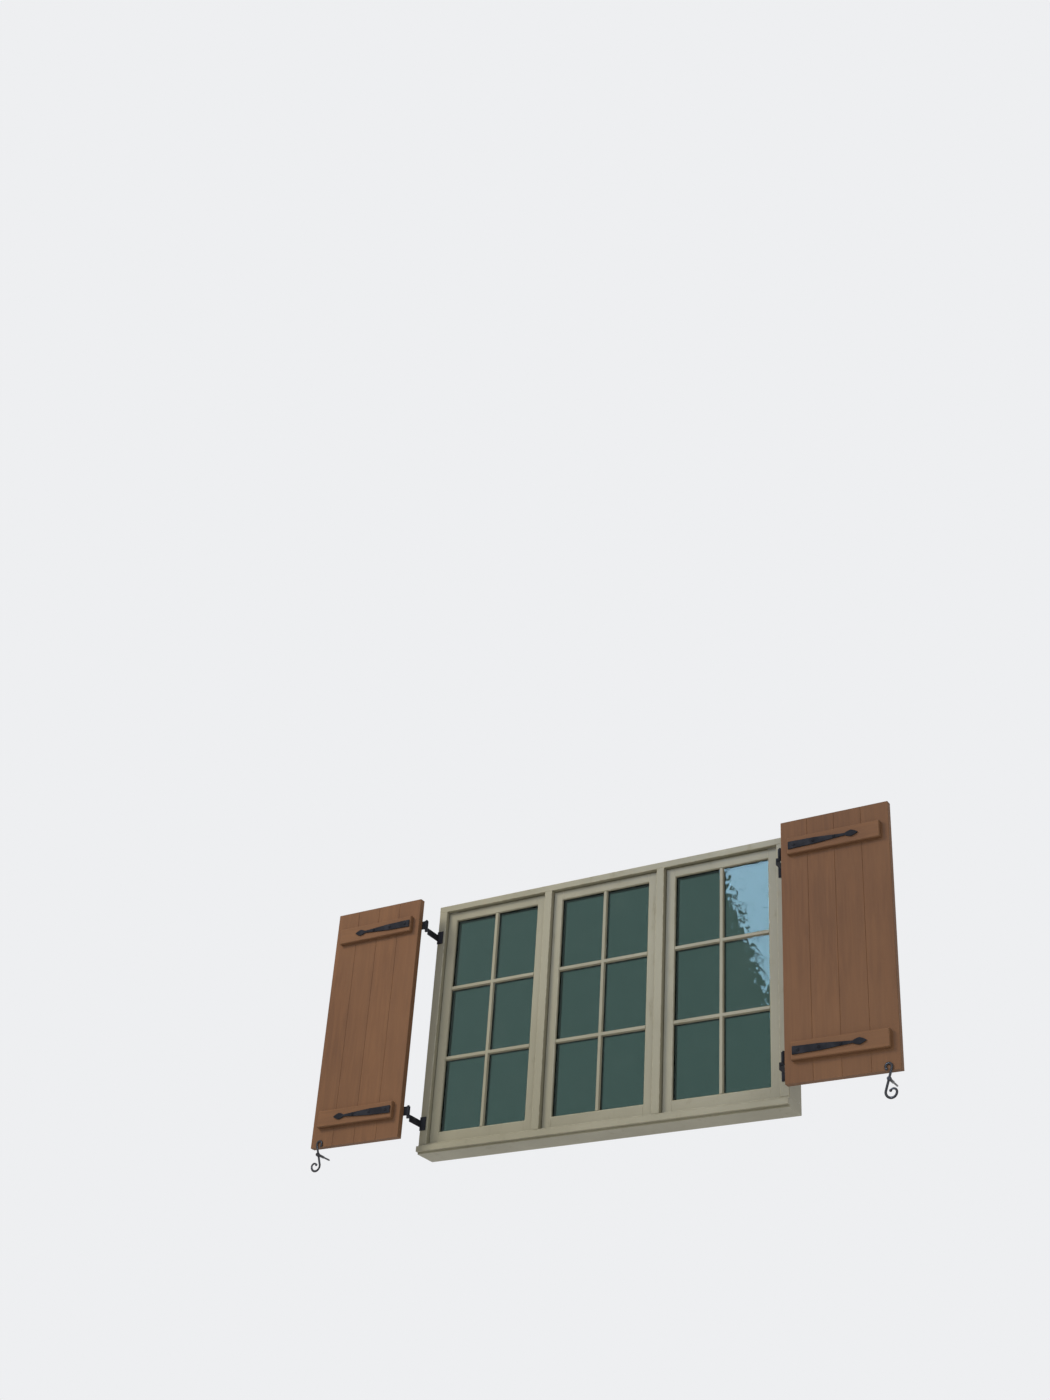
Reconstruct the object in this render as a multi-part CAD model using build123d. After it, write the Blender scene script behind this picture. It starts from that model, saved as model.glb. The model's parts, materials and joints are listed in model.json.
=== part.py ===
from build123d import *
import math
import os

# A triple casement window with its own frame and a pair of board and batten shutters.
# Millimetres. X runs to the right as seen from outdoors, Y into the building, Z up.
# The origin is the middle of the frame sill's underside, halfway through the frame's depth.

# Sashes
glass_width = 436
glass_height = 1004
stile_width = 44
top_rail_height = 42
bottom_rail_height = 50
sash_thickness = 44
glass_recess = 11
glass_thickness = 18
rabbet_width = 10
glass_edge_clearance = 2
lip_bevel = 4
tenon_length = 26
tenon_thickness = 14
tenon_shoulder = 8
tenon_rabbet_gap = 2

# Glazing bars
bar_width = 22
bar_nose_width = 13
bar_thickness = 10
pane_columns = 2
pane_rows = 3

# Frame
sash_gap = 4
mullion_width = 37
jamb_width = 40
head_height = 30
sill_height = 44
frame_depth = 116
sash_setback = 20
sill_nose_depth = 16
sill_nose_height = 24
sill_nose_drop = 8
edge_easing = 1.5

# Interior stops, weatherstrips and packers
stop_gap = 3
stop_thickness = 12
stop_lap = 12
strip_width = 5
strip_clearance = 0.3
strip_inset = 2
packer_length = 60
packer_depth = 25.5
packer_inset = 110

# Sash pivots
pivot_inset_x = 12
pivot_inset_y = 9
pivot_pin_radius = 3.5
pivot_pin_reach = 12
pivot_plate_thickness = 1.6
pivot_plate_width = 22
pivot_plate_length = 44
pivot_collar_radius = 6.5
pivot_collar_height = 0.6
running_clearance = 0.06
bore_end_clearance = 1

# Crank operators
arm_length = 190
arm_width = 14
arm_thickness = 2.4
arm_lift = 0.8
arm_hub_radius = 10
arm_shaft_radius = 6
arm_shaft_depth = 14
roller_radius = 3.7
roller_height = 4.6
track_width = 10
track_depth = 6
track_wall = 1
roller_clearance = 0.3
track_margin = 14
sash_open_angle = 75
operator_width = 70
operator_depth_below = 18
operator_height = 25
operator_back = 57
operator_slope = 17
operator_front_reach = 12
operator_stop_clearance = 2
pocket_clearance = 0.5
crank_shaft_radius = 4
crank_shaft_depth = 14
crank_hub_radius = 9
crank_hub_length = 14
crank_standoff = 0.3
crank_length = 78
crank_bar_width = 11
crank_bar_thickness = 6
knob_radius = 7
knob_length = 26
knob_rounding = 3.5
knob_neck_radius = 3.5

# Sash locks
lock_height = 460
lock_plate_height = 52
lock_plate_thickness = 2
lock_pin_radius = 2.5
lock_hub_radius = 5.5
lock_tongue_length = 22
lock_tongue_width = 9
lock_tongue_thickness = 4
lock_lever_length = 96
lock_lever_thickness = 5
lock_clearance = 0.3
lock_pin_proud = 2
lever_keeper_gap = 1
keeper_width = 20
keeper_height = 32
keeper_base = 2
keeper_wall = 4
keeper_lip_height = 16
keeper_lip_thickness = 3
keeper_lip_setback = 2
keeper_clearance = 0.5
keeper_bead_gap = 2

# Shutters
shutter_width = 470
shutter_foot_height = 47
shutter_side_gap = 32
reveal_depth = 78
shutter_wall_gap = 10
board_thickness = 28
board_count = 4
tongue_length = 8
tongue_thickness = 8
tongue_clearance = 0.3
board_joint_bevel = 1.5
batten_height = 74
batten_thickness = 19
batten_end_inset = 34
batten_edge_inset = 86
batten_easing = 3

# Decorative iron straps on the battens
strap_length = 305
strap_thickness = 5
strap_start = 7
strap_butt_height = 33
strap_mid_height = 28
strap_neck_height = 9
strap_neck_flare = 1
strap_spear_height = 28
strap_spear_length = 56
spear_swell_reach = 11
spear_swell_half = 10
spear_point_reach = 14
spear_point_half = 8.7
strap_neck_length = 14
strap_screw_places = (24, 110, 200)
screw_radius = 3
screw_head_radius = 7
screw_head_height = 3
screw_head_rounding = 2.4
screw_depth = 44

# Shutter hinges and their pintles
pintle_radius = 5
knuckle_radius = 9
knuckle_height = 40
hinge_plate_thickness = 4
hinge_plate_reach = 110
pintle_setoff = 6
bracket_thickness = 4
bracket_width = 30
bracket_plate_up = 15
bracket_plate_down = 45
bracket_arm_height = 30
bracket_tab_height = 12
bracket_tab_half = 5
swing_clearance = 1.5
knuckle_seat_clearance = 0.3

# Shutter holdbacks
dog_inset = 49
dog_drop = 34
dog_bar_width = 9
dog_thickness = 6
dog_hub_radius = 9
dog_tip_radius = 5.5
dog_upper_radius = 13
dog_upper_height = 48
dog_upper_end = 222
dog_lower_radius = 22
dog_lower_drop = 52
dog_lower_shift = 5
dog_scroll_radius = 13
dog_scroll_end = 150
dog_face_clearance = 0.3
dog_post_clearance = 0.3
dog_post_radius = 6
dog_pin_radius = 4
dog_head_radius = 8
dog_head_height = 4
dog_stud_length = 40
dog_stud_tip_length = 6
dog_stud_tip_radius = 1.5

# Places that follow from the sizes
frame_front = -frame_depth / 2
frame_back = frame_depth / 2
sash_front = frame_front + sash_setback
sash_back = sash_front + sash_thickness
glass_front = sash_front + glass_recess
glass_back = glass_front + glass_thickness
sash_width = glass_width + 2 * stile_width
sash_height = glass_height + top_rail_height + bottom_rail_height
sash_bottom = sill_height + sash_gap
sash_top = sash_bottom + sash_height
glass_bottom = sash_bottom + bottom_rail_height
glass_top = glass_bottom + glass_height
head_bottom = sash_top + sash_gap
frame_height = head_bottom + head_height
opening_width = sash_width + 2 * sash_gap
sash_pitch = opening_width + mullion_width
inner_half = sash_pitch + opening_width / 2
frame_half = inner_half + jamb_width
stop_front = sash_back + stop_gap
stop_back = stop_front + stop_thickness
sash_outer_edge = inner_half - sash_gap
sash_inner_edge = sash_outer_edge - sash_width
pivot_x = sash_outer_edge - pivot_inset_x
pivot_y = sash_front + pivot_inset_y
arm_pivot_x = pivot_x - arm_length
roller_x = arm_pivot_x - arm_length
lock_x = sash_inner_edge - sash_gap + stop_lap / 2
wall_face = frame_front - reveal_depth
shutter_back = wall_face - shutter_wall_gap
shutter_front = shutter_back - board_thickness
batten_front = shutter_front - batten_thickness
strap_front = batten_front - strap_thickness
shutter_inner = frame_half + shutter_side_gap
shutter_outer = shutter_inner + shutter_width
shutter_top = frame_height
shutter_bottom = shutter_foot_height
batten_centres = (
    shutter_bottom + batten_edge_inset + batten_height / 2,
    shutter_top - batten_edge_inset - batten_height / 2,
)
pintle_x = (shutter_inner + frame_half - bracket_thickness - swing_clearance) / 2
pintle_y = shutter_back + pintle_setoff
dog_x = shutter_outer - dog_inset
dog_z = shutter_bottom - dog_drop
dog_back = shutter_front - dog_face_clearance
dog_front = dog_back - dog_thickness


def block(x0, x1, y0, y1, z0, z1):
    centre = Pos((x0 + x1) / 2, (y0 + y1) / 2, (z0 + z1) / 2)
    return centre * Box(abs(x1 - x0), abs(y1 - y0), abs(z1 - z0))


def upright_rod(x, y, z0, z1, radius):
    return Pos(x, y, (z0 + z1) / 2) * Cylinder(radius, abs(z1 - z0))


def level_rod(x, z, y0, y1, radius):
    return Pos(x, (y0 + y1) / 2, z) * Rot(90, 0, 0) * Cylinder(radius, abs(y1 - y0))


def front_plane(y):
    # Looks outdoors, so its own second axis is the object's Z.
    return Plane(origin=(0, y, 0), x_dir=(1, 0, 0), z_dir=(0, -1, 0))


def pieces_of(shape):
    return list(shape) if isinstance(shape, (list, tuple)) else [shape]


def save(node, *shapes):
    solids = [solid for shape in shapes for part in pieces_of(shape) for solid in part.solids()]
    result = solids[0] if len(solids) == 1 else Compound(solids)
    export_step(result, f"parts/{node}.step")


def save_pair(node, *shapes):
    # The right-hand piece is modelled, and the left-hand one mirrors it.
    solids = [solid for shape in shapes for part in pieces_of(shape) for solid in part.solids()]
    save("right_" + node, *solids)
    save("left_" + node, *[mirror(solid, about=Plane.YZ) for solid in solids])


def both_sides(*shapes):
    solids = [solid for shape in shapes for part in pieces_of(shape) for solid in part.solids()]
    return solids + [mirror(solid, about=Plane.YZ) for solid in solids]


# Frame


def eased(member, axis):
    return chamfer(member.edges().filter_by(axis).group_by(Axis.Y)[0], edge_easing)


def frame_head():
    head = block(-frame_half, frame_half, frame_front, frame_back, head_bottom, frame_height)
    return eased(head, Axis.X)


def frame_upright(x0, x1):
    upright = block(x0, x1, frame_front, frame_back, sill_height, head_bottom)
    return eased(upright, Axis.Z)


def frame_sill():
    nose_top = sill_nose_drop + sill_nose_height
    section = Polyline(
        (frame_back, 0),
        (frame_front, 0),
        (frame_front, sill_nose_drop),
        (frame_front - sill_nose_depth, sill_nose_drop),
        (frame_front - sill_nose_depth, nose_top),
        (frame_front, nose_top + edge_easing),
        (frame_front, sill_height - edge_easing),
        (frame_front + edge_easing, sill_height),
        (frame_back, sill_height),
        close=True,
    )
    start = Plane(origin=(-frame_half, 0, 0), x_dir=(0, 1, 0), z_dir=(1, 0, 0))
    sill = extrude(start * make_face(section), 2 * frame_half)
    for side in (-1, 1):
        sill -= operator_pocket(side)
    return sill


def operator_pocket(side):
    half = operator_width / 2 + pocket_clearance
    front = pivot_y - operator_front_reach - pocket_clearance
    x = side * arm_pivot_x
    return block(x - half, x + half, front, frame_back, sill_height - operator_depth_below, sill_height)


def stop_ring(centre):
    half = opening_width / 2
    edge = half - stop_lap
    low = sill_height + stop_lap
    high = head_bottom - stop_lap
    return [
        block(centre - half, centre + half, stop_front, stop_back, sill_height, low),
        block(centre - half, centre + half, stop_front, stop_back, high, head_bottom),
        block(centre - half, centre - edge, stop_front, stop_back, low, high),
        block(centre + edge, centre + half, stop_front, stop_back, low, high),
    ]


def strip_bar(x0, x1, z0, z1):
    return block(x0, x1, sash_back + strip_clearance, stop_front, z0, z1)


def strip_ring(centre, hinge_side):
    # A pivoting sash swings its heel through the gap, so the strips stay away from that end.
    heel = 2 * (sash_gap + pivot_inset_x)
    near = opening_width / 2 - sash_gap - strip_inset
    far = near - strip_width
    left = -heel if hinge_side < 0 else 0
    right = -heel if hinge_side > 0 else 0
    low = sash_bottom + strip_inset
    high = sash_top - strip_inset
    bars = [
        strip_bar(centre - near - left, centre + near + right, low, low + strip_width),
        strip_bar(centre - near - left, centre + near + right, high - strip_width, high),
    ]
    if hinge_side >= 0:
        bars.append(strip_bar(centre - near, centre - far, low + strip_width, high - strip_width))
    if hinge_side <= 0:
        bars.append(strip_bar(centre + far, centre + near, low + strip_width, high - strip_width))
    return bars


def centre_packers():
    front = glass_front
    back = front + packer_depth
    half = sash_width / 2
    blocks = []
    for side in (-1, 1):
        x = side * (half - packer_inset)
        reach = packer_length / 2
        blocks.append(block(x - reach, x + reach, front, back, sill_height, sash_bottom))
        blocks.append(block(x - reach, x + reach, front, back, sash_top, head_bottom))
        for z in (sash_bottom + packer_inset, sash_top - packer_inset):
            blocks.append(block(side * half, side * (half + sash_gap), front, back, z - reach, z + reach))
    return blocks


# Sashes


def sash_ring(centre):
    half = sash_width / 2
    glass_half = glass_width / 2
    rabbet_half = glass_half + rabbet_width
    rabbet_low = glass_bottom - rabbet_width
    rabbet_high = glass_top + rabbet_width
    ring = block(centre - half, centre + half, sash_front, sash_back, sash_bottom, sash_top)
    ring -= block(centre - glass_half, centre + glass_half, sash_front, sash_back, glass_bottom, glass_top)
    ring -= block(centre - rabbet_half, centre + rabbet_half, glass_front, sash_back, rabbet_low, rabbet_high)
    return ring - lip_cut(centre)


def lip_cut(centre):
    # The sloping edge of the sash round its glass, widest at the sash's face.
    middle = Pos(centre, (glass_bottom + glass_top) / 2)
    wide = middle * Rectangle(glass_width + 2 * lip_bevel, glass_height + 2 * lip_bevel)
    narrow = middle * Rectangle(glass_width, glass_height)
    return loft([front_plane(sash_front) * wide, front_plane(sash_front + lip_bevel) * narrow])


def tenons(centre, low, high):
    depth_centre = (sash_front + sash_back) / 2
    front = depth_centre - tenon_thickness / 2
    back = depth_centre + tenon_thickness / 2
    half = glass_width / 2
    return [
        block(centre - half - tenon_length, centre - half, front, back, low, high),
        block(centre + half, centre + half + tenon_length, front, back, low, high),
    ]


def sash_members(centre):
    ring = sash_ring(centre)
    half = glass_width / 2
    clear = rabbet_width + tenon_rabbet_gap
    top_tenons = tenons(centre, glass_top + clear, sash_top - tenon_shoulder)
    bottom_tenons = tenons(centre, sash_bottom + tenon_shoulder, glass_bottom - clear)
    whole = (sash_front, sash_back, sash_bottom, sash_top)
    left = ring & block(centre - sash_width / 2, centre - half, *whole)
    right = ring & block(centre + half, centre + sash_width / 2, *whole)
    top = ring & block(centre - half, centre + half, sash_front, sash_back, glass_top, sash_top)
    bottom = ring & block(centre - half, centre + half, sash_front, sash_back, sash_bottom, glass_bottom)
    left = left - top_tenons[0] - bottom_tenons[0]
    right = right - top_tenons[1] - bottom_tenons[1]
    top = top + top_tenons[0] + top_tenons[1]
    bottom = bottom + bottom_tenons[0] + bottom_tenons[1]
    return left, right, top, bottom


def glass_unit(centre):
    half = glass_width / 2 + rabbet_width - glass_edge_clearance
    low = glass_bottom - rabbet_width + glass_edge_clearance
    high = glass_top + rabbet_width - glass_edge_clearance
    return block(centre - half, centre + half, glass_front, glass_back, low, high)


def glazing_beads(centre):
    half = glass_width / 2
    edge = half + rabbet_width
    return [
        block(centre - edge, centre + edge, glass_back, sash_back, glass_bottom - rabbet_width, glass_bottom),
        block(centre - edge, centre + edge, glass_back, sash_back, glass_top, glass_top + rabbet_width),
        block(centre - edge, centre - half, glass_back, sash_back, glass_bottom, glass_top),
        block(centre + half, centre + edge, glass_back, sash_back, glass_bottom, glass_top),
    ]


def bar_section(glass_face, outward):
    nose = glass_face + outward * bar_thickness
    return Polyline(
        (-bar_width / 2, glass_face),
        (bar_width / 2, glass_face),
        (bar_nose_width / 2, nose),
        (-bar_nose_width / 2, nose),
        close=True,
    )


def glazing_bars(centre, glass_face, outward):
    face = make_face(bar_section(glass_face, outward))
    grid = None
    for column in range(1, pane_columns):
        x = centre - glass_width / 2 + column * glass_width / pane_columns
        bar = extrude(Plane(origin=(x, 0, glass_bottom)) * face, glass_height)
        grid = bar if grid is None else grid + bar
    for row in range(1, pane_rows):
        z = glass_bottom + row * glass_height / pane_rows
        plane = Plane(origin=(centre + glass_width / 2, 0, z), x_dir=(0, 0, 1), z_dir=(-1, 0, 0))
        bar = extrude(plane * face, glass_width)
        grid = bar if grid is None else grid + bar
    return grid


def both_grids(centre):
    return [glazing_bars(centre, glass_front, -1), glazing_bars(centre, glass_back, 1)]


# Pivots of the opening sashes


def pivot_plate(z0, z1):
    outer = sash_outer_edge
    front = pivot_y - pivot_plate_width / 2
    back = pivot_y + pivot_plate_width / 2
    return block(outer - pivot_plate_length, outer, max(front, sash_front), back, z0, z1)


def frame_pivots():
    low_plate = pivot_plate(sill_height, sill_height + pivot_plate_thickness)
    high_plate = pivot_plate(head_bottom - pivot_plate_thickness, head_bottom)
    low_collar = sill_height + pivot_plate_thickness + pivot_collar_height
    high_collar = head_bottom - pivot_plate_thickness - pivot_collar_height
    low = low_plate + upright_rod(pivot_x, pivot_y, sill_height, low_collar, pivot_collar_radius)
    low += upright_rod(pivot_x, pivot_y, sill_height, sash_bottom + pivot_pin_reach, pivot_pin_radius)
    high = high_plate + upright_rod(pivot_x, pivot_y, high_collar, head_bottom, pivot_collar_radius)
    high += upright_rod(pivot_x, pivot_y, sash_top - pivot_pin_reach, head_bottom, pivot_pin_radius)
    return [low, high]


def pivot_bores():
    bore_radius = pivot_pin_radius + running_clearance
    depth = pivot_pin_reach + bore_end_clearance
    low = upright_rod(pivot_x, pivot_y, sill_height, sash_bottom + depth, bore_radius)
    high = upright_rod(pivot_x, pivot_y, sash_top - depth, head_bottom, bore_radius)
    return low, high


def sash_pivot_plates():
    low_bore, high_bore = pivot_bores()
    low = pivot_plate(sash_bottom - pivot_plate_thickness, sash_bottom) - low_bore
    high = pivot_plate(sash_top, sash_top + pivot_plate_thickness) - high_bore
    return [low, high]


# Crank operators


def operator_profile():
    front = pivot_y - operator_front_reach
    low = sill_height - operator_depth_below
    high = sill_height + operator_height
    inner = stop_back + operator_stop_clearance
    return Polyline(
        (front, low),
        (operator_back, low),
        (operator_back, high - operator_slope),
        (operator_back - operator_slope, high),
        (inner, high),
        (inner, sill_height),
        (front, sill_height),
        close=True,
    )


def crank_plane():
    # Lies in the operator's sloping face, with its normal pointing up into the room.
    y = operator_back - operator_slope / 2
    z = sill_height + operator_height - operator_slope / 2
    return Plane(origin=(arm_pivot_x, y, z), x_dir=(1, 0, 0), z_dir=(0, 1, 1))


def operator_body():
    half = operator_width / 2
    start = Plane(origin=(arm_pivot_x - half, 0, 0), x_dir=(0, 1, 0), z_dir=(1, 0, 0))
    body = extrude(start * make_face(operator_profile()), operator_width)
    shaft_floor = sill_height - arm_shaft_depth - bore_end_clearance
    body -= upright_rod(arm_pivot_x, pivot_y, shaft_floor, sill_height, arm_shaft_radius + running_clearance)
    bore_depth = crank_shaft_depth + bore_end_clearance
    bore = Pos(0, 0, -bore_depth / 2) * Cylinder(crank_shaft_radius + running_clearance, bore_depth)
    return body - crank_plane() * bore


def operator_arm():
    low = sill_height + arm_lift
    high = low + arm_thickness
    arm = upright_rod(arm_pivot_x, pivot_y, low, high, arm_hub_radius)
    arm += upright_rod(arm_pivot_x, pivot_y, sill_height - arm_shaft_depth, high, arm_shaft_radius)
    arm += upright_rod(roller_x, pivot_y, low, high, arm_width / 2)
    arm += block(roller_x, arm_pivot_x, pivot_y - arm_width / 2, pivot_y + arm_width / 2, low, high)
    return arm + upright_rod(roller_x, pivot_y, low, high + roller_height, roller_radius)


def track_ends():
    nearest = 2 * arm_length * math.cos(math.radians(sash_open_angle))
    inner = roller_x - track_margin
    outer = pivot_x - nearest + track_margin
    return inner, outer


def track_groove():
    inner, outer = track_ends()
    half = track_width / 2
    return block(inner, outer, pivot_y - half, pivot_y + half, sash_bottom, sash_bottom + track_depth)


def track_channel():
    inner, outer = track_ends()
    half = roller_radius + roller_clearance
    top = sash_bottom + track_depth - track_wall
    return track_groove() - block(inner, outer, pivot_y - half, pivot_y + half, sash_bottom, top)


def crank_handle():
    hub_top = crank_standoff + crank_hub_length
    shaft_length = crank_shaft_depth + crank_standoff
    handle = Pos(0, 0, (crank_standoff + hub_top) / 2) * Cylinder(crank_hub_radius, crank_hub_length)
    handle += Pos(0, 0, crank_standoff - shaft_length / 2) * Cylinder(crank_shaft_radius, shaft_length)
    bar_centre = hub_top - crank_bar_thickness / 2
    handle += Pos(-crank_length / 2, 0, bar_centre) * Box(crank_length, crank_bar_width, crank_bar_thickness)
    end = Cylinder(crank_bar_width / 2, crank_bar_thickness)
    handle += Pos(-crank_length, 0, bar_centre) * end
    knob = Pos(-crank_length, 0, hub_top + knob_length / 2) * Cylinder(knob_radius, knob_length)
    knob = fillet(knob.edges().group_by(Axis.Z)[-1], knob_rounding)
    neck = Cylinder(knob_neck_radius, crank_bar_thickness)
    return crank_plane() * (handle + knob + Pos(-crank_length, 0, bar_centre) * neck)


# Sash locks


def lock_levels():
    # Depths of the tongue and of the lever, which clears the keeper's lip.
    tongue_low = stop_back + lock_plate_thickness + lock_clearance
    tongue_high = tongue_low + lock_tongue_thickness
    lever_low = tongue_high + keeper_clearance + keeper_lip_thickness + lever_keeper_gap
    return tongue_low, tongue_high, lever_low, lever_low + lock_lever_thickness


def lock_base():
    half = stop_lap / 2
    pin_end = lock_levels()[3] + lock_pin_proud
    plate_back = stop_back + lock_plate_thickness
    low = lock_height - lock_plate_height / 2
    high = lock_height + lock_plate_height / 2
    plate = block(lock_x - half, lock_x + half, stop_back, plate_back, low, high)
    return plate + level_rod(lock_x, lock_height, stop_back, pin_end, lock_pin_radius)


def lock_lever():
    tongue_low, tongue_high, lever_low, lever_high = lock_levels()
    half = lock_tongue_width / 2
    tongue_top = lock_height + lock_tongue_length
    end = lock_x + lock_lever_length
    lever = level_rod(lock_x, lock_height, tongue_low, lever_high, lock_hub_radius)
    lever += block(lock_x - half, lock_x + half, tongue_low, tongue_high, lock_height, tongue_top)
    lever += block(lock_x, end, lever_low, lever_high, lock_height - half, lock_height + half)
    lever += level_rod(end, lock_height, lever_low, lever_high, half)
    return lever - level_rod(lock_x, lock_height, tongue_low, lever_high, lock_pin_radius + running_clearance)


def keeper():
    # A hook on the sash: its lip stands off the base, and the lever's tongue turns in behind it.
    lip_front = lock_levels()[1] + keeper_clearance
    lip_back = lip_front + keeper_lip_thickness
    inner = sash_inner_edge + stile_width - rabbet_width - keeper_bead_gap
    outer = inner - keeper_width
    base_half = keeper_height / 2
    low = lock_height - keeper_lip_height / 2
    high = lock_height + keeper_lip_height / 2
    base_back = sash_back + keeper_base
    base = block(outer, inner, sash_back, base_back, lock_height - base_half, lock_height + base_half)
    wall = block(inner - keeper_wall, inner, sash_back, lip_back, low, high)
    lip = block(outer + keeper_lip_setback, inner, lip_front, lip_back, low, high)
    return base + wall + lip


# Shutters


def shutter_boards():
    pitch = shutter_width / board_count
    depth_centre = (shutter_front + shutter_back) / 2
    boards = []
    for index in range(board_count):
        low = shutter_inner + index * pitch
        board = block(low, low + pitch, shutter_front, shutter_back, shutter_bottom, shutter_top)
        front_edges = board.edges().filter_by(Axis.Z).group_by(Axis.Y)[0]
        board = chamfer(front_edges, board_joint_bevel)
        half = tongue_thickness / 2
        if index > 0:
            groove_half = half + tongue_clearance
            end = low + tongue_length + tongue_clearance
            front = depth_centre - groove_half
            board -= block(low, end, front, depth_centre + groove_half, shutter_bottom, shutter_top)
        if index < board_count - 1:
            start = low + pitch
            end = start + tongue_length
            front = depth_centre - half
            board += block(start, end, front, depth_centre + half, shutter_bottom, shutter_top)
        boards.append(board)
    return boards


def shutter_battens():
    battens = []
    for centre in batten_centres:
        low = centre - batten_height / 2
        high = centre + batten_height / 2
        inner = shutter_inner + batten_end_inset
        outer = shutter_outer - batten_end_inset
        batten = block(inner, outer, batten_front, shutter_front, low, high)
        battens.append(chamfer(batten.faces().sort_by(Axis.Y)[0].edges(), batten_easing))
    return battens


def strap_outline():
    # The upper half of the strap, from its butt to the tip of its spear, and then its mirror image.
    neck_end = strap_length - strap_spear_length
    neck_start = neck_end - strap_neck_length
    butt = (0, strap_butt_height / 2)
    middle = (neck_start / 2, strap_mid_height / 2)
    flare = (neck_start, strap_neck_height / 2 + strap_neck_flare)
    neck = (neck_end, strap_neck_height / 2)
    widest = (strap_length - strap_spear_length / 2, strap_spear_height / 2)
    tip = (strap_length, 0)
    upper = Polyline((0, 0), butt, middle, flare, neck)
    swell = ThreePointArc(neck, (neck_end + spear_swell_reach, spear_swell_half), widest)
    point = ThreePointArc(widest, (widest[0] + spear_point_reach, spear_point_half), tip)
    closing = Line(tip, (0, 0))
    half = make_face(upper + swell + point + closing)
    return half + mirror(half, about=Plane.XZ)


def strap_origin():
    return shutter_inner + batten_end_inset + strap_start


def straps():
    outline = strap_outline()
    bars = []
    for centre in batten_centres:
        bar = extrude(front_plane(batten_front) * Pos(strap_origin(), centre) * outline, strap_thickness)
        for place in strap_screw_places:
            bar -= level_rod(strap_origin() + place, centre, strap_front, batten_front, screw_radius)
        bars.append(bar)
    return bars


def screw_shank(place, centre):
    x = strap_origin() + place
    return level_rod(x, centre, strap_front, strap_front + screw_depth, screw_radius)


def strap_screws():
    screws = []
    for centre in batten_centres:
        for place in strap_screw_places:
            head = Cylinder(screw_head_radius, screw_head_height)
            head = fillet(head.edges().group_by(Axis.Z)[-1], screw_head_rounding)
            seat = front_plane(strap_front) * Pos(strap_origin() + place, centre, screw_head_height / 2)
            screws.append(seat * head + screw_shank(place, centre))
    return screws


def met_by_screw(solid, x, z):
    box = solid.bounding_box()
    return box.min.X < x + screw_radius and box.max.X > x - screw_radius and box.min.Z < z < box.max.Z


def drilled(solids):
    result = []
    for solid in solids:
        for centre in batten_centres:
            for place in strap_screw_places:
                if met_by_screw(solid, strap_origin() + place, centre):
                    solid = solid - screw_shank(place, centre)
        result.append(solid)
    return result


def hinge_seats():
    return [centre - knuckle_height / 2 for centre in batten_centres]


def shutter_hinges():
    hinges = []
    for seat in hinge_seats():
        low = seat + knuckle_seat_clearance
        high = low + knuckle_height
        hinge = upright_rod(pintle_x, pintle_y, low, high, knuckle_radius)
        end = shutter_inner + hinge_plate_reach
        hinge += block(pintle_x, end, shutter_back, shutter_back + hinge_plate_thickness, low, high)
        hinges.append(hinge - upright_rod(pintle_x, pintle_y, low, high, pintle_radius + running_clearance))
    return hinges


def pintle_brackets():
    brackets = []
    arm_inner = frame_half - bracket_thickness
    plate_inner = frame_half - bracket_width
    plate_front = frame_front - bracket_thickness
    tab_front = pintle_y - bracket_tab_half
    tab_back = pintle_y + bracket_tab_half
    for seat in hinge_seats():
        tab_low = seat - bracket_tab_height
        plate_low = seat - bracket_plate_down
        plate_high = seat + bracket_plate_up
        pin_top = seat + knuckle_seat_clearance + knuckle_height + pintle_radius
        bracket = block(plate_inner, frame_half, plate_front, frame_front, plate_low, plate_high)
        bracket += block(arm_inner, frame_half, tab_front, plate_front, seat - bracket_arm_height, seat)
        bracket += block(arm_inner, pintle_x, tab_front, tab_back, tab_low, seat)
        bracket += upright_rod(pintle_x, pintle_y, tab_low, seat, bracket_tab_half)
        bracket += upright_rod(pintle_x, pintle_y, tab_low, pin_top, pintle_radius)
        brackets.append(bracket)
    return brackets


# Holdbacks


def polar(centre, radius, degrees):
    angle = math.radians(degrees)
    return (centre[0] + radius * math.cos(angle), centre[1] + radius * math.sin(angle))


def dog_arc(centre, radius, start, end):
    middle = polar(centre, radius, (start + end) / 2)
    return ThreePointArc(polar(centre, radius, start), middle, polar(centre, radius, end))


def dog_centreline():
    # Two round hooks joined by the slanting stem that is tangent to both.
    upper = (0, dog_upper_height)
    lower = (dog_lower_shift, -dog_lower_drop)
    across = (lower[0] - upper[0], lower[1] - upper[1])
    span = math.hypot(*across)
    heading = math.degrees(math.atan2(across[1], across[0]))
    turn = math.degrees(math.acos((dog_upper_radius + dog_lower_radius) / span))
    upper_start = heading + turn
    lower_start = upper_start + 180
    scroll = (lower[0] + dog_lower_radius - dog_scroll_radius, lower[1])
    hook = dog_arc(upper, dog_upper_radius, upper_start, dog_upper_end)
    stem = Line(polar(upper, dog_upper_radius, upper_start), polar(lower, dog_lower_radius, lower_start))
    loop = dog_arc(lower, dog_lower_radius, lower_start, 360)
    curl = dog_arc(scroll, dog_scroll_radius, 0, dog_scroll_end)
    tips = (polar(upper, dog_upper_radius, dog_upper_end), polar(scroll, dog_scroll_radius, dog_scroll_end))
    return (hook, stem, loop, curl), tips


def holdback():
    lines, tips = dog_centreline()
    outline = Circle(dog_hub_radius)
    for line in lines:
        outline += trace(line, dog_bar_width)
    for tip in tips:
        outline += Pos(*tip) * Circle(dog_tip_radius)
    place = front_plane(dog_back) * Pos(dog_x, dog_z)
    dog = extrude(place * outline, dog_thickness)
    return dog - level_rod(dog_x, dog_z, dog_front, dog_back, dog_pin_radius + running_clearance)


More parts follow.
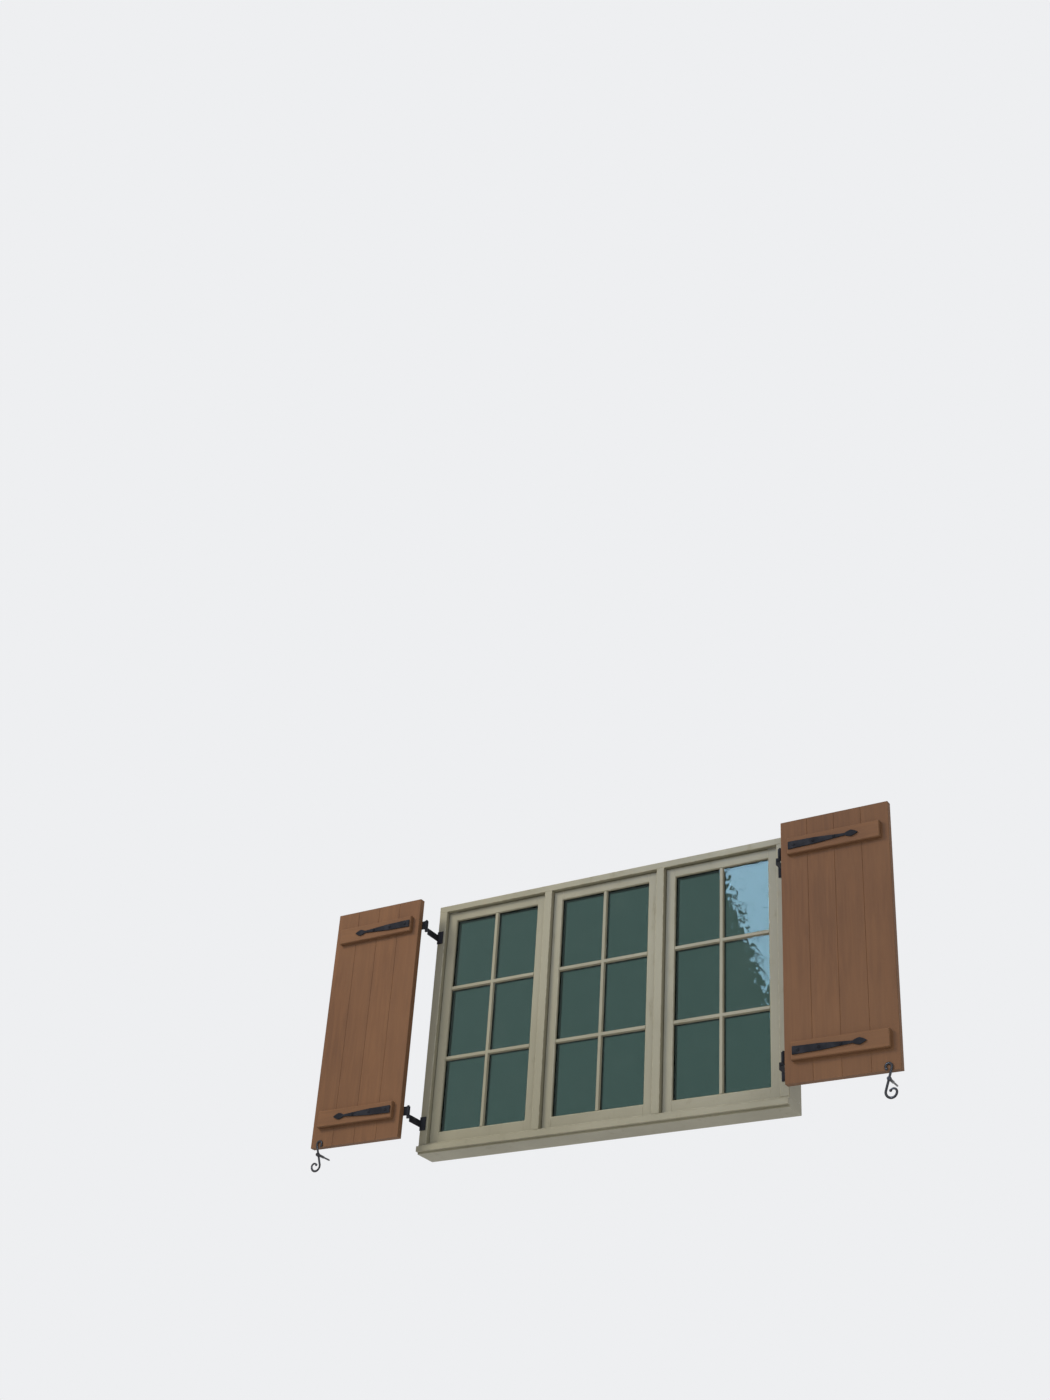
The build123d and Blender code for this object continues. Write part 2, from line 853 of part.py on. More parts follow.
def holdback_post():
    post = level_rod(dog_x, dog_z, dog_back + dog_post_clearance, wall_face, dog_post_radius)
    head_back = dog_front - dog_post_clearance
    post += level_rod(dog_x, dog_z, head_back, wall_face, dog_pin_radius)
    post += level_rod(dog_x, dog_z, head_back - dog_head_height, head_back, dog_head_radius)
    stud_end = wall_face + dog_stud_length
    post += level_rod(dog_x, dog_z, wall_face, stud_end, dog_pin_radius)
    end = Plane(origin=(dog_x, stud_end, dog_z), x_dir=(1, 0, 0), z_dir=(0, 1, 0))
    tip = Cone(dog_pin_radius, dog_stud_tip_radius, dog_stud_tip_length)
    return post + end * Pos(0, 0, dog_stud_tip_length / 2) * tip


def write_frame():
    save("frame_head", frame_head())
    save("frame_sill", frame_sill())
    save_pair("jamb", frame_upright(inner_half, frame_half))
    save_pair("mullion", frame_upright(opening_width / 2, opening_width / 2 + mullion_width))
    save("interior_stops", stop_ring(-sash_pitch), stop_ring(0), stop_ring(sash_pitch))
    save("weatherstrips", strip_ring(-sash_pitch, -1), strip_ring(0, 0), strip_ring(sash_pitch, 1))
    save("centre_sash_packers", centre_packers())


def write_centre_sash():
    left, right, top, bottom = sash_members(0)
    save("centre_sash_left_stile", left)
    save("centre_sash_right_stile", right)
    save("centre_sash_top_rail", top)
    save("centre_sash_bottom_rail", bottom)
    save("centre_sash_glass", glass_unit(0))
    save("centre_sash_glazing_bars", both_grids(0))
    save("centre_sash_glazing_beads", glazing_beads(0))


def write_side_sashes():
    lock_stile, hinge_stile, top, bottom = sash_members(sash_pitch)
    for bore in pivot_bores():
        hinge_stile -= bore
    save_pair("sash_hinge_stile", hinge_stile)
    save_pair("sash_lock_stile", lock_stile)
    save_pair("sash_top_rail", top)
    save_pair("sash_bottom_rail", bottom - track_groove())
    save_pair("sash_glass", glass_unit(sash_pitch))
    save_pair("sash_glazing_bars", both_grids(sash_pitch))
    save_pair("sash_glazing_beads", glazing_beads(sash_pitch))
    save_pair("sash_pivot_plates", sash_pivot_plates())
    save("frame_pivots", both_sides(frame_pivots()))


def write_hardware():
    save_pair("operator_body", operator_body())
    save_pair("operator_arm", operator_arm())
    save_pair("arm_track", track_channel())
    save_pair("crank_handle", crank_handle())
    save("lock_bases", both_sides(lock_base()))
    save_pair("lock_lever", lock_lever())
    save_pair("lock_keeper", keeper())


def write_shutters():
    save_pair("shutter_boards", drilled(shutter_boards()))
    save_pair("shutter_battens", drilled(shutter_battens()))
    save_pair("shutter_straps", straps())
    save_pair("strap_screws", strap_screws())
    save_pair("shutter_hinges", shutter_hinges())
    save("pintle_brackets", both_sides(pintle_brackets()))
    save_pair("holdback", holdback())
    save("holdback_posts", both_sides(holdback_post()))


os.makedirs("parts", exist_ok=True)
write_frame()
write_centre_sash()
write_side_sashes()
write_hardware()
write_shutters()
print("sash", sash_width, "x", sash_height, "frame", 2 * frame_half, "x", frame_height)
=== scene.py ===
import json
import math
import bmesh
import bpy
from mathutils import Matrix, Vector

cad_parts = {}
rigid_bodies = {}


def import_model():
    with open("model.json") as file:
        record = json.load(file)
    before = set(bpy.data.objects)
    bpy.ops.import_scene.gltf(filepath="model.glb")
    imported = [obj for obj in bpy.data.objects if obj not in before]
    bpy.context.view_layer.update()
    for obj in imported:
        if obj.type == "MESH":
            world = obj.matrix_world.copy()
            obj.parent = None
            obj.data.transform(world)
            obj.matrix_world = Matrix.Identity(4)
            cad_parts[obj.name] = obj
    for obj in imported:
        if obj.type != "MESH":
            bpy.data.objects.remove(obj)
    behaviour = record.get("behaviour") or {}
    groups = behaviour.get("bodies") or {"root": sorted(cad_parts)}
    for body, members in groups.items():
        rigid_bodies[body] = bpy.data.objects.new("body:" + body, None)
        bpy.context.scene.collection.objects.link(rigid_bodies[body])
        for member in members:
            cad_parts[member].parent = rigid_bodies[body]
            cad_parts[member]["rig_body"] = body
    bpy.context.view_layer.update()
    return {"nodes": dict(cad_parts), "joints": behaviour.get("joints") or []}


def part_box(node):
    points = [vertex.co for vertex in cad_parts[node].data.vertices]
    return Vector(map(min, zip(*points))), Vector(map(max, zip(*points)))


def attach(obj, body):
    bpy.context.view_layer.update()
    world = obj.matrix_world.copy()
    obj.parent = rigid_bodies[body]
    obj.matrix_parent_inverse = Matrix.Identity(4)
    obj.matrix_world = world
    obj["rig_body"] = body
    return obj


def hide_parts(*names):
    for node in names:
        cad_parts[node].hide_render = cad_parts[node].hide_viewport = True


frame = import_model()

scene = bpy.context.scene
bodyOf = {name: node["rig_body"] for name, node in frame["nodes"].items()}
jointOf = {joint["name"]: joint for joint in frame["joints"]}
sides = {"left": -1, "right": 1}
sashes = ("left_sash", "centre_sash", "right_sash")


def tone(red, green, blue):
    # A colour as a paint chart gives it, 0 to 255, in the light values that a shader takes.
    steps = [value / 255 for value in (red, green, blue)]
    return tuple(c / 12.92 if c < 0.04 else ((c + 0.055) / 1.055) ** 2.4 for c in steps) + (1,)


# Shader maths


class Wire:
    # A node's output. Sums and products written with it add Math nodes.
    def __init__(self, finish, socket):
        self.finish = finish
        self.socket = socket

    def maths(self, operation, *values):
        return self.finish.add("ShaderNodeMath", {"operation": operation}, dict(enumerate(values)))

    def __add__(self, other):
        return self.maths("ADD", self, other)

    def __radd__(self, other):
        return self.maths("ADD", other, self)

    def __sub__(self, other):
        return self.maths("SUBTRACT", self, other)

    def __rsub__(self, other):
        return self.maths("SUBTRACT", other, self)

    def __mul__(self, other):
        return self.maths("MULTIPLY", self, other)

    def __rmul__(self, other):
        return self.maths("MULTIPLY", other, self)

    def __truediv__(self, other):
        return self.maths("DIVIDE", self, other)


class Finish:
    # The nodes of one material, lamp or sky. add() sets a node up first and then fills its sockets.
    def __init__(self, name, owner=None):
        self.owner = owner or bpy.data.materials.new(name)
        self.owner.use_nodes = True
        self.tree = self.owner.node_tree
        self.tree.nodes.clear()

    def add(self, kind, settings=None, sockets=None, output=0):
        node = self.tree.nodes.new(kind)
        for name, value in (settings or {}).items():
            setattr(node, name, value)
        for name, value in (sockets or {}).items():
            if isinstance(value, Wire):
                self.tree.links.new(value.socket, node.inputs[name])
            else:
                node.inputs[name].default_value = value
        return Wire(self, node.outputs[output]) if node.outputs else None

    def place(self, stretch=(1, 1, 1)):
        # Metres in the object's own frame, multiplied along each axis.
        sockets = {"Vector": self.add("ShaderNodeTexCoord", output=3), "Scale": stretch}
        return self.add("ShaderNodeMapping", {"vector_type": "POINT"}, sockets)

    def noise(self, size, stretch=(1, 1, 1), detail=3, roughness=0.5, twist=0):
        sockets = {"Vector": self.place(stretch), "Scale": 1 / size, "Detail": detail}
        return self.add("ShaderNodeTexNoise", {}, {**sockets, "Roughness": roughness, "Distortion": twist})

    def ramp(self, value, low, high):
        sockets = {"Value": value, "From Min": low, "From Max": high}
        return self.add("ShaderNodeMapRange", {"interpolation_type": "SMOOTHSTEP", "clamp": True}, sockets)

    def mix(self, factor, first, second):
        settings = {"data_type": "RGBA", "blend_type": "MIX", "clamp_factor": True}
        return self.add("ShaderNodeMix", settings, {0: factor, 6: first, 7: second}, output=2)

    def along(self, size, squeeze, detail, roughness, twist=0):
        # Noise drawn out along each member: along X on faces marked as running level, and else along Z.
        level = self.add("ShaderNodeAttribute", {"attribute_name": "runsLevel"}, output=2)
        upright = self.noise(size, (1, 1, squeeze), detail, roughness, twist)
        lying = self.noise(size, (squeeze, 1, 1), detail, roughness, twist)
        return level * lying + (1 - level) * upright

    def edge(self):
        # 1 on the eased edges of a piece, 0 on its faces.
        return self.add("ShaderNodeAttribute", {"attribute_name": "easedEdge"}, output=2)

    def rubbed(self, size, span, detail=5):
        # 1 where an eased edge is rubbed through.
        return self.edge() * self.ramp(self.noise(size, detail=detail), *span)

    def bump(self, height, depth):
        return self.add("ShaderNodeBump", {}, {"Height": height, "Distance": depth, "Strength": 1})

    def surface(self, sockets):
        shader = self.add("ShaderNodeBsdfPrincipled", {}, sockets)
        self.add("ShaderNodeOutputMaterial", {}, {"Surface": shader})
        return self.owner

    def seenDirectly(self):
        # 1 for what the camera sees, straight or through glass or in gloss, and 0 for light on the object.
        camera, gloss, glass = (self.add("ShaderNodeLightPath", output=number) for number in (0, 3, 6))
        return camera.maths("MAXIMUM", camera.maths("MAXIMUM", camera, gloss), glass)


# Materials

paintLook = {
    "colour": tone(139, 134, 112),
    "faded": tone(153, 148, 126),
    "deep": tone(103, 99, 80),
    "worn": tone(174, 169, 147),
    "strokeWidth": 0.0016,
    "strokeDepth": 0.00014,
    "strokeShare": 0.3,
    "patchSize": 0.32,
    "patchSpan": (0.36, 0.66),
    "patchShare": 0.7,
    "grimeSize": 0.045,
    "grimeSpan": (0.56, 0.76),
    "grimeShare": 0.32,
    "wearSize": 0.03,
    "wearSpan": (0.4, 0.62),
    "wearShare": 0.55,
    "roughness": 0.4,
    "strokeRoughness": 0.14,
    "grimeRoughness": 0.18,
}


def puttyPaint(name):
    # Brushed on along the member, faded in patches, dirty in spots and rubbed at the edges.
    look = paintLook
    finish = Finish(name)
    strokes = finish.along(look["strokeWidth"], squeeze=0.02, detail=3, roughness=0.55)
    patches = finish.ramp(finish.noise(look["patchSize"], (1, 1, 0.5), detail=4), *look["patchSpan"])
    dirt = finish.noise(look["grimeSize"], (1, 1, 0.45), detail=6, roughness=0.65)
    grime = finish.ramp(dirt, *look["grimeSpan"])
    rubbed = finish.rubbed(look["wearSize"], look["wearSpan"])
    colour = finish.mix(patches * look["patchShare"], look["colour"], look["faded"])
    colour = finish.mix(strokes * look["strokeShare"], colour, look["deep"])
    colour = finish.mix(grime * look["grimeShare"], colour, look["deep"])
    colour = finish.mix(rubbed * look["wearShare"], colour, look["worn"])
    dulled = strokes * look["strokeRoughness"] + grime * look["grimeRoughness"]
    return finish.surface({
        "Base Color": colour,
        "Roughness": look["roughness"] + dulled,
        "IOR": 1.48,
        "Normal": finish.bump(strokes, look["strokeDepth"]),
    })


stainLook = {
    "colour": tone(113, 79, 52),
    "light": tone(127, 92, 62),
    "dark": tone(86, 60, 41),
    "worn": tone(146, 112, 80),
    "boardWidth": 0.1175,
    "boardShare": 0.2,
    "fibreWidth": 0.0014,
    "fibreShare": 0.22,
    "fibreHeight": 0.6,
    "fibreRoughness": 0.16,
    "figureWidth": 0.02,
    "figureSpan": (0.3, 0.7),
    "figureShare": 0.55,
    "figureHeight": 0.4,
    "depth": 0.00028,
    "weatherSize": 0.4,
    "weatherSpan": (0.32, 0.7),
    "weatherShare": 0.5,
    "wearSize": 0.03,
    "wearSpan": (0.42, 0.6),
    "wearShare": 0.5,
    "roughness": 0.6,
}


def brownStain(name, boarded=True):
    # Grain runs along the wood, and each board takes the stain a little differently.
    look = stainLook
    finish = Finish(name)
    fibres = finish.along(look["fibreWidth"], squeeze=0.012, detail=4, roughness=0.6)
    figure = finish.along(look["figureWidth"], squeeze=0.07, detail=5, roughness=0.62, twist=0.9)
    weather = finish.ramp(finish.noise(look["weatherSize"], (1, 1, 0.7), detail=4), *look["weatherSpan"])
    share = look["figureShare"]
    grown = finish.ramp(figure, *look["figureSpan"]) * share + (1 - share)
    colour = finish.mix(grown, look["dark"], look["colour"])
    colour = finish.mix(weather * look["weatherShare"], colour, look["light"])
    if boarded:
        across = finish.add("ShaderNodeSeparateXYZ", {}, {"Vector": finish.place()})
        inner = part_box("right_shutter_boards")[0].x
        board = (across.maths("ABSOLUTE", across) - inner) / look["boardWidth"]
        number = {"W": board.maths("FLOOR", board)}
        chance = finish.add("ShaderNodeTexWhiteNoise", {"noise_dimensions": "1D"}, number)
        colour = finish.mix(chance * look["boardShare"], colour, look["dark"])
    colour = finish.mix((1 - fibres) * look["fibreShare"], colour, look["dark"])
    rubbed = finish.rubbed(look["wearSize"], look["wearSpan"])
    colour = finish.mix(rubbed * look["wearShare"], colour, look["worn"])
    height = fibres * look["fibreHeight"] + figure * look["figureHeight"]
    return finish.surface({
        "Base Color": colour,
        "Roughness": look["roughness"] + fibres * look["fibreRoughness"],
        "Specular IOR Level": 0.3,
        "Normal": finish.bump(height, look["depth"]),
    })


glassLook = {
    "outer": tone(222, 236, 231),
    # Painted shade: the inner pane's dark teal stands in for the shade of a room behind the glass.
    "inner": tone(60, 80, 76),
    "film": tone(140, 150, 142),
    "filmSize": 0.12,
    "filmSpan": (0.5, 0.8),
    "filmShare": 0.1,
    "reflection": tone(150, 172, 168),
    "roughness": 0.01,
    "filmRoughness": 0.04,
    "ripple": 0.22,
    "rippleDepth": 0.0001,
}


def sealedGlass(name, colour):
    # Slightly wavy, with a thin film of dust. The inner pane is tinted dark as painted shade, standing in
    # for the shade of a room behind it.
    look = glassLook
    finish = Finish(name)
    waves = finish.noise(look["ripple"], (1, 1, 0.6), detail=1)
    film = finish.ramp(finish.noise(look["filmSize"], detail=6, roughness=0.7), *look["filmSpan"])
    return finish.surface({
        "Base Color": finish.mix(film * look["filmShare"], colour, look["film"]),
        "Roughness": look["roughness"] + film * look["filmRoughness"],
        "IOR": 1.42,
        "Specular Tint": look["reflection"],
        "Transmission Weight": 1.0,
        "Normal": finish.bump(waves, look["rippleDepth"]),
    })


ironLook = {
    "black": tone(31, 31, 35),
    "grey": tone(58, 58, 63),
    "rust": tone(92, 58, 42),
    "cloudSize": 0.05,
    "cloudSpan": (0.4, 0.7),
    "cloudShare": 0.5,
    "edgeShare": 0.45,
    "rustSize": 0.022,
    "rustSpan": (0.6, 0.72),
    "rustShare": 0.4,
    "hammerSize": 0.012,
    "hammerDepth": 0.0004,
    "pitSize": 0.0015,
    "pitHeight": 0.25,
    "roughness": (0.66, 0.28),
    "pitRoughness": 0.14,
    "rustRoughness": 0.2,
    "coat": 0.5,
}


def forgedIron(name, gloss):
    # Black over hammer marks, grey at the edges, with specks of rust. gloss is 0 for matt, 1 for wet.
    look = ironLook
    finish = Finish(name)
    hammered = {"Vector": finish.place(), "Scale": 1 / look["hammerSize"], "Smoothness": 0.6}
    marks = finish.add("ShaderNodeTexVoronoi", {"feature": "SMOOTH_F1"}, hammered)
    pits = finish.noise(look["pitSize"], detail=4, roughness=0.6)
    rust = finish.ramp(finish.noise(look["rustSize"], detail=7, roughness=0.7), *look["rustSpan"])
    clouds = finish.ramp(finish.noise(look["cloudSize"], detail=4), *look["cloudSpan"])
    colour = finish.mix(clouds * look["cloudShare"], look["black"], look["grey"])
    colour = finish.mix(finish.edge() * look["edgeShare"], colour, look["grey"])
    colour = finish.mix(rust * look["rustShare"], colour, look["rust"])
    matt, wet = look["roughness"]
    dulled = pits * look["pitRoughness"] + rust * look["rustRoughness"]
    return finish.surface({
        "Base Color": colour,
        "Roughness": matt + (wet - matt) * gloss + dulled,
        "Metallic": 0.35,
        "Specular IOR Level": 0.25,
        "Coat Weight": look["coat"] * gloss,
        "Coat Roughness": 0.16,
        "Normal": finish.bump(marks + pits * look["pitHeight"], look["hammerDepth"]),
    })


steelLook = {
    "bloom": tone(120, 116, 108),
    "bloomSize": 0.03,
    "bloomSpan": (0.4, 0.7),
    "bloomShare": 0.35,
    "bloomRoughness": 0.12,
    "lineSize": 0.0006,
    "lineDepth": 0.00004,
    "lineRoughness": 0.16,
}


def platedSteel(name, colour, roughness):
    # Drawn plate: fine lines along X and a faint bloom.
    look = steelLook
    finish = Finish(name)
    lines = finish.noise(look["lineSize"], (0.03, 1, 1), detail=3, roughness=0.6)
    bloom = finish.ramp(finish.noise(look["bloomSize"], detail=5), *look["bloomSpan"])
    dulled = lines * look["lineRoughness"] + bloom * look["bloomRoughness"]
    return finish.surface({
        "Base Color": finish.mix(bloom * look["bloomShare"], colour, look["bloom"]),
        "Roughness": roughness + dulled,
        "Metallic": 1.0,
        "Normal": finish.bump(lines, look["lineDepth"]),
    })


enamelLook = {
    "colour": tone(132, 122, 98),
    "rubbed": tone(168, 158, 132),
    "softSize": 0.02,
    "softSpan": (0.35, 0.7),
    "softShare": 0.3,
    "wearSize": 0.008,
    "wearSpan": (0.42, 0.6),
    "wearShare": 0.6,
    "peelSize": 0.0016,
    "peelDepth": 0.00008,
    "roughness": 0.32,
    "peelRoughness": 0.12,
    "softRoughness": 0.06,
}


def enamel(name):
    # Sprayed finish of cast handles: a fine orange peel, and rubbed where hands touch the edges.
    look = enamelLook
    finish = Finish(name)
    peel = finish.noise(look["peelSize"], detail=2)
    soft = finish.ramp(finish.noise(look["softSize"], detail=4), *look["softSpan"])
    rubbed = finish.rubbed(look["wearSize"], look["wearSpan"], detail=4)
    colour = finish.mix(soft * look["softShare"], look["colour"], look["rubbed"])
    dulled = peel * look["peelRoughness"] + soft * look["softRoughness"]
    return finish.surface({
        "Base Color": finish.mix(rubbed * look["wearShare"], colour, look["rubbed"]),
        "Roughness": look["roughness"] + dulled,
        "Normal": finish.bump(peel, look["peelDepth"]),
    })


rubberLook = {
    "black": tone(30, 30, 30),
    "dust": tone(76, 73, 68),
    "dustSize": 0.02,
    "dustSpan": (0.45, 0.75),
    "dustShare": 0.4,
    "grainSize": 0.0012,
    "grainDepth": 0.0001,
    "grainRoughness": 0.18,
    "roughness": 0.66,
}


def blackRubber(name):
    look = rubberLook
    finish = Finish(name)
    grain = finish.noise(look["grainSize"], detail=4)
    dust = finish.ramp(finish.noise(look["dustSize"], detail=5), *look["dustSpan"])
    return finish.surface({
        "Base Color": finish.mix(dust * look["dustShare"], look["black"], look["dust"]),
        "Roughness": look["roughness"] + grain * look["grainRoughness"],
        "Normal": finish.bump(grain, look["grainDepth"]),
    })


plasticLook = {
    "grey": tone(92, 92, 94),
    "scuffed": tone(128, 127, 124),
    "scuffSize": 0.01,
    "scuffSpan": (0.5, 0.7),
    "scuffShare": 0.4,
    "grainSize": 0.0009,
    "grainDepth": 0.00008,
    "grainRoughness": 0.15,
    "roughness": 0.5,
}


def greyPlastic(name):
    look = plasticLook
    finish = Finish(name)
    grain = finish.noise(look["grainSize"])
    scuffs = finish.ramp(finish.noise(look["scuffSize"], (1, 1, 0.2), detail=5), *look["scuffSpan"])
    return finish.surface({
        "Base Color": finish.mix(scuffs * look["scuffShare"], look["grey"], look["scuffed"]),
        "Roughness": look["roughness"] + grain * look["grainRoughness"],
        "Normal": finish.bump(grain, look["grainDepth"]),
    })


puttyCoat = puttyPaint("putty_paint")
boardStain = brownStain("brown_stain_boards")
battenStain = brownStain("brown_stain_battens", boarded=False)
outerGlass = sealedGlass("outer_pane_glass", glassLook["outer"])
# Painted shade: the inner pane is glass tinted dark for the shade of the room behind it.
innerShadeGlass = sealedGlass("inner_pane_shade_glass", glassLook["inner"])
strapIron = forgedIron("forged_iron_straps", gloss=0)
glossIron = forgedIron("forged_iron_gloss", gloss=1)
zincSteel = platedSteel("zinc_plated_steel", tone(178, 178, 174), roughness=0.26)
spacerSteel = platedSteel("spacer_metal", tone(120, 122, 122), roughness=0.4)
handleEnamel = enamel("handle_enamel")
sealRubber = blackRubber("seal_rubber")
packerGrey = greyPlastic("packer_plastic")
print("materials made:", len(bpy.data.materials))


# Shaping and placing

# Metres and degrees, but curveFrom in radians
shaping = {
    "mergeWithin": 0.00001,
    "flatWithin": 1,
    "easeFrom": 35,
    "sliver": 0.000004,
    "capMergeWithin": 0.000005,
    "curveFrom": 0.01,
    "smoothTo": 40,
}


def solidsOf(mesh):
    # The mesh holds one solid after another, and each is closed before the next begins.
    spots = [tuple(round(value, 6) for value in vert.co) for vert in mesh.vertices]
    groups, current, unmatched = [], set(), set()
    for face in mesh.polygons:
        corners = [spots[index] for index in face.vertices]
        unmatched ^= {frozenset(pair) for pair in zip(corners, corners[1:] + corners[:1])}
        current.add(face.index)
        if not unmatched:
            groups.append(current)
            current = set()
    return groups + [current] if current else groups


def join(shape, other):
    # Puts other's faces into shape.
    mesh = bpy.data.meshes.new("joined")
    other.to_mesh(mesh)
    other.free()
    shape.from_mesh(mesh)
    bpy.data.meshes.remove(mesh)


def startFrom(nodeName):
    # The node's solids with whole faces, each merged by itself, so that neighbours that touch stay apart.
    mesh = frame["nodes"][nodeName].data
    flat = math.radians(shaping["flatWithin"])
    shape = bmesh.new()
    for group in solidsOf(mesh):
        solid = bmesh.new()
        solid.from_mesh(mesh)
        others = [face for face in solid.faces if face.index not in group]
        bmesh.ops.delete(solid, geom=others, context="FACES")
        bmesh.ops.remove_doubles(solid, verts=solid.verts, dist=shaping["mergeWithin"])
        bmesh.ops.dissolve_limit(solid, angle_limit=flat, verts=solid.verts, edges=solid.edges)
        join(shape, solid)
    return shape


def markOf(shape, name):
    return shape.faces.layers.float.get(name) or shape.faces.layers.float.new(name)


def ease(shape, width, segments=2, easeFrom=shaping["easeFrom"]):
    # Rounds the outward edges and marks their faces for wear.
    edgeMark = markOf(shape, "easedEdge")
    limit = math.radians(easeFrom)
    hard = [e for e in shape.edges if e.is_manifold and e.is_convex and e.calc_face_angle(0) > limit]
    made = bmesh.ops.bevel(
        shape,
        geom=hard,
        offset=width,
        segments=segments,
        profile=0.5,
        affect="EDGES",
        clamp_overlap=True,
        material=-1,
    )
    for face in made["faces"]:
        face[edgeMark] = 1
    bmesh.ops.dissolve_degenerate(shape, dist=shaping["sliver"], edges=shape.edges)


def roundFaces(shape, smoothTo):
    # Which faces shade smoothly: curved ones and eased edges. A flat one would mirror as a lens does.
    edgeMark = markOf(shape, "easedEdge")
    bend = math.radians(smoothTo)
    shape.normal_update()

    def curved(face):
        beside = (other for edge in face.edges for other in edge.link_faces if other is not face)
        bends = (face.normal.angle(other.normal, 0) for other in beside if not other[edgeMark])
        return any(shaping["curveFrom"] < angle < bend for angle in bends)

    return [bool(face[edgeMark]) or curved(face) for face in shape.faces]


def finishPiece(name, shape, material, carrier, nodes=(), smoothTo=shaping["smoothTo"]):
    # Makes the shape an object on the body of the CAD node that carries it.
    flags = roundFaces(shape, smoothTo)
    mesh = bpy.data.meshes.new(name)
    shape.to_mesh(mesh)
    shape.free()
    mesh.set_sharp_from_angle(angle=math.radians(smoothTo))
    mesh.polygons.foreach_set("use_smooth", flags)
    mesh.materials.append(material)
    piece = bpy.data.objects.new(name, mesh)
    scene.collection.objects.link(piece)
    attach(piece, bodyOf[carrier])
    if nodes:
        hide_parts(*nodes)
    return piece


def markRun(shape, run):
    # Marks the faces that run level with 1 and upright ones with 0: all alike, or each by its own shape.
    runMark = markOf(shape, "runsLevel")
    for face in shape.faces:
        across = [vert.co.x for vert in face.verts]
        upwards = [vert.co.z for vert in face.verts]
        wide = max(across) - min(across) > max(upwards) - min(upwards)
        face[runMark] = float(run == "level" or (run == "mixed" and wide))


def easedCopy(nodeName, width, material, segments=2, run="upright"):
    shape = startFrom(nodeName)
    ease(shape, width, segments)
    markRun(shape, run)
    finishPiece(nodeName + "_eased", shape, material, nodeName, [nodeName])


def coat(nodeName, material):
    mesh = frame["nodes"][nodeName].data
    mesh.materials.clear()
    mesh.materials.append(material)


def outwards(zDirection, xDirection, origin):
    # Own Z becomes zDirection and own X becomes xDirection, with the origin at origin.
    up = Vector(zDirection).normalized()
    right = Vector(xDirection).normalized()
    ahead = up.cross(right)
    turn = Matrix((right, ahead, up)).transposed().to_4x4()
    return Matrix.Translation(origin) @ turn


def turned(shape, profile, steps=32, ring=False):
    # Spins (radius, height) points about Z. They start and end on the axis, or close up as a ring.
    points = [shape.verts.new((radius, 0, height)) for radius, height in profile]
    pairs = list(zip(points, points[1:] + points[:1])) if ring else list(zip(points, points[1:]))
    lines = [shape.edges.new(pair) for pair in pairs]
    bmesh.ops.spin(
        shape,
        geom=points + lines,
        cent=(0, 0, 0),
        axis=(0, 0, 1),
        angle=2 * math.pi,
        steps=steps,
        use_merge=True,
        use_duplicate=False,
    )
    bmesh.ops.remove_doubles(shape, verts=shape.verts, dist=shaping["mergeWithin"])
    bmesh.ops.recalc_face_normals(shape, faces=shape.faces)


def thicken(shape, pull):
    # Pulls a flat panel out into a solid one.
    made = bmesh.ops.extrude_face_region(shape, geom=shape.faces[:])
    moved = [item for item in made["geom"] if isinstance(item, bmesh.types.BMVert)]
    bmesh.ops.translate(shape, vec=pull, verts=moved)
    bmesh.ops.recalc_face_normals(shape, faces=shape.faces)


def panel(left, right, bottom, top, front):
    # A flat panel that stands upright.
    shape = bmesh.new()
    bmesh.ops.create_grid(shape, x_segments=1, y_segments=1, size=0.5)
    for vert in shape.verts:
        vert.co = (left if vert.co.x < 0 else right, front, bottom if vert.co.y < 0 else top)
    return shape


def blade(stations, low, high):
    # A flat bar along X, as wide at each (place, half width) as that says, between two heights.
    shape = bmesh.new()
    last = len(stations) - 1
    bmesh.ops.create_grid(shape, x_segments=last, y_segments=1, size=0.5)
    for vert in shape.verts:
        place, half = stations[round((vert.co.x + 0.5) * last)]
        vert.co = (place, math.copysign(half, vert.co.y), low)
    thicken(shape, (0, 0, high - low))
    return shape


def roundTip(centre, half, steps=7, last=84):
    # Stations that close a bar with nearly a half circle.
    turns = [math.radians(last) * step / steps for step in range(steps + 1)]
    return [(centre + half * math.sin(turn), half * math.cos(turn)) for turn in turns]


def roundedEnd(radius, low, high, rounding, steps=5):
    # Profile of a round boss from low to high with a rounded rim.
    profile = [(0, low), (radius, low)]
    middle, level = radius - rounding, high - rounding
    for step in range(steps + 1):
        angle = math.pi / 2 * step / steps
        profile.append((middle + rounding * math.cos(angle), level + rounding * math.sin(angle)))
    return profile + [(0, high)]


def rod(path, radii, flatness=1):
    # A forged rod through the path's points, as thick at each as radii says, and flattened along Y.
    line = bpy.data.curves.new("rodLine", "CURVE")
    line.dimensions = "3D"
    line.bevel_depth = 1
    line.bevel_resolution = 5
    line.use_fill_caps = True
    spline = line.splines.new("POLY")
    spline.points.add(len(path) - 1)
    for point, spot, radius in zip(spline.points, path, radii):
        point.co = (*spot, 1)
        point.radius = radius
    carrier = bpy.data.objects.new("rodLine", line)
    mesh = bpy.data.meshes.new_from_object(carrier)
    shape = bmesh.new()
    shape.from_mesh(mesh)
    bmesh.ops.remove_doubles(shape, verts=shape.verts, dist=shaping["capMergeWithin"])
    bmesh.ops.scale(shape, vec=(1, flatness, 1), verts=shape.verts)
    bpy.data.meshes.remove(mesh)
    bpy.data.objects.remove(carrier)
    bpy.data.curves.remove(line)
    return shape


screwLook = {
    "dome": ((1, 0), (1, 0.35), (0.9, 0.7), (0.68, 1)),
    "slotWidth": 0.22,
    "slotDepth": 0.42,
    "steps": 24,
    "firstTurn": 20,
    "nextTurn": 47,
}


